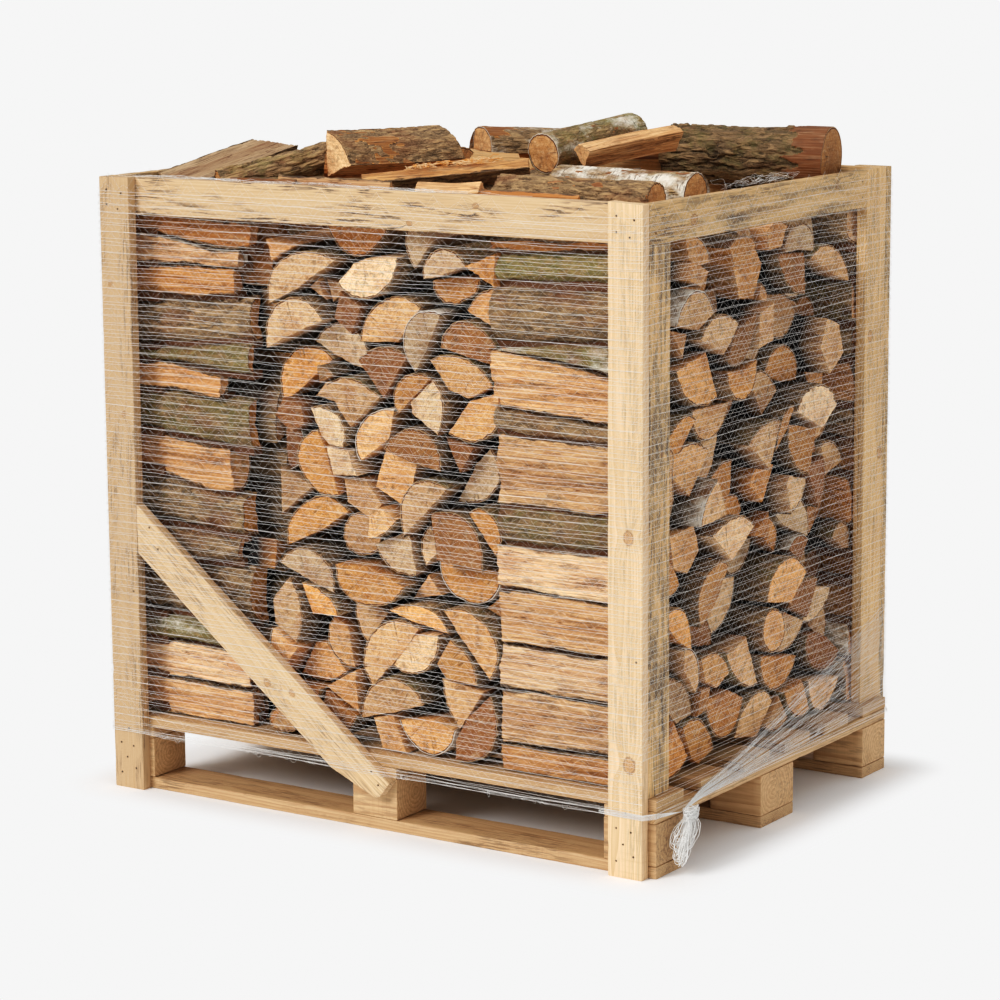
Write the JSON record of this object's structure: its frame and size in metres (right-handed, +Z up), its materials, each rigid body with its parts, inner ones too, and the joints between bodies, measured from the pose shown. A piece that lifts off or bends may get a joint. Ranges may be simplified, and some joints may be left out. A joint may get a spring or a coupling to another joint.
{
  "type": "netted crate of split firewood",
  "caption": "Slatted softwood crate on a block pallet, filled with stacked split birch firewood and wrapped in white knitted net, with loose logs heaped on top.",
  "frame": {"origin": "on the floor, at the centre of the pallet's footprint, on the underside of the middle runner", "axes": "+X along the long front to the right, +Y from the front to the back, +Z up"},
  "size_m": [1.2719, 0.9556, 1.3015],
  "materials": {
    "slat_fresh": "planed pale softwood with knots",
    "slat_sawn": "sawn softwood, slightly weathered",
    "pallet_wood": "rough sawn softwood",
    "split_wood": "split and cross-cut firewood",
    "bark_grey": "grey-brown furrowed bark",
    "bark_mossy": "dark bark with green algae",
    "bark_birch": "white papery birch bark",
    "net_yarn": "thin white knitted polyethylene yarn"
  },
  "bodies": {
    "root": {"block_front_centre": "pallet_wood", "block_front_left": "pallet_wood", "block_front_right": "pallet_wood", "block_middle_centre": "pallet_wood", "block_middle_left": "pallet_wood", "block_middle_right": "pallet_wood", "block_rear_centre": "pallet_wood", "block_rear_left": "pallet_wood", "block_rear_right": "pallet_wood", "brace_front": "slat_fresh", "brace_rear": "slat_sawn", "deck_board_1": "pallet_wood", "deck_board_2": "pallet_wood", "deck_board_3": "pallet_wood", "deck_board_4": "pallet_wood", "deck_board_5": "pallet_wood", "deck_board_6": "pallet_wood", "log_birch_round": "bark_birch", "log_front": "bark_grey", "log_grey_left": "bark_grey", "log_half_birch": "bark_birch", "log_long_splinter": "split_wood", "log_mossy_low": "bark_mossy", "log_oak": "bark_mossy", "log_offcut": "split_wood", "log_orange_split": "split_wood", "log_rear_centre": "bark_grey", "log_rear_corner": "split_wood", "log_rear_left": "bark_mossy", "log_rear_right": "bark_grey", "log_small_split": "split_wood", "log_split_slab": "split_wood", "log_wedge": "bark_grey", "log_white_birch": "bark_birch", "logs_left": "bark_grey", "logs_middle_front": "split_wood", "logs_middle_rear": "split_wood", "logs_right": "bark_grey", "net_sleeve": "net_yarn", "net_tail": "net_yarn", "post_front_left": "slat_fresh", "post_front_right": "slat_fresh", "post_rear_left": "slat_sawn", "post_rear_right": "slat_sawn", "rail_front": "slat_fresh", "rail_rear": "slat_sawn", "runner_front": "pallet_wood", "runner_middle": "pallet_wood", "runner_rear": "pallet_wood", "side_rail_left": "slat_sawn", "side_rail_right": "slat_sawn", "side_upright_front_left": "slat_sawn", "side_upright_front_right": "slat_sawn", "side_upright_rear_left": "slat_sawn", "side_upright_rear_right": "slat_sawn", "stringer_centre": "pallet_wood", "stringer_left": "pallet_wood", "stringer_right": "pallet_wood"}
  },
  "joints": []
}
